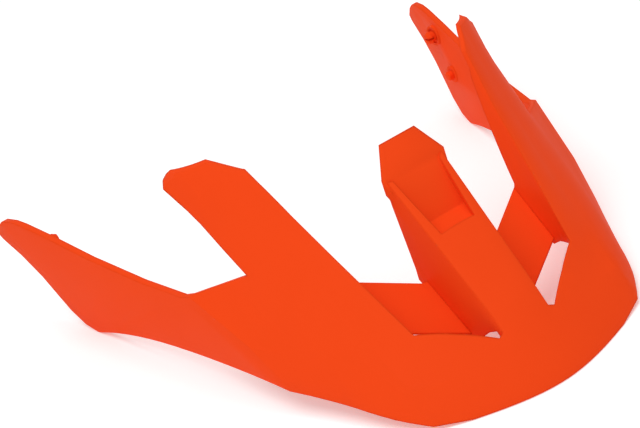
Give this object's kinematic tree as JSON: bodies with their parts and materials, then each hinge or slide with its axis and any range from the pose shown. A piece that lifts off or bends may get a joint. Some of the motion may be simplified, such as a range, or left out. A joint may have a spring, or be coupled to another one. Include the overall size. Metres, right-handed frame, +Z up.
{
  "type": "helmet visor",
  "caption": "Clip-on helmet visor peak with a vented hollow centre ridge, side prongs and rear arms that tilt on barbed snap studs.",
  "frame": {"origin": "bottom centre of the bounding box, on the plane the visor stands on, in its plane of symmetry", "axes": "-Y is the front of the brim, +Z up as the visor stands on its front lip and arm corners, +X is the wearer's left"},
  "size_m": [0.2094, 0.2328, 0.0825],
  "materials": {
    "visor_plastic": "satin moulded",
    "fixing_plastic": "satin moulded"
  },
  "bodies": {
    "visor": {"visor_shell": "visor_plastic", "vent_panel_left": "visor_plastic", "vent_panel_right": "visor_plastic", "stud_ring_left": "fixing_plastic", "stud_ring_right": "fixing_plastic", "index_peg_left": "fixing_plastic", "index_peg_right": "fixing_plastic"},
    "pivot_studs": {"pivot_stud_left": "fixing_plastic", "pivot_stud_right": "fixing_plastic"}
  },
  "joints": [
    {"name": "visor_tilt", "type": "hinge", "parent": "visor", "child": "pivot_studs", "pos_m": [0, 0.0847, 0.037], "axis": [1, 0, 0], "range_deg": [-12, 12]}
  ]
}
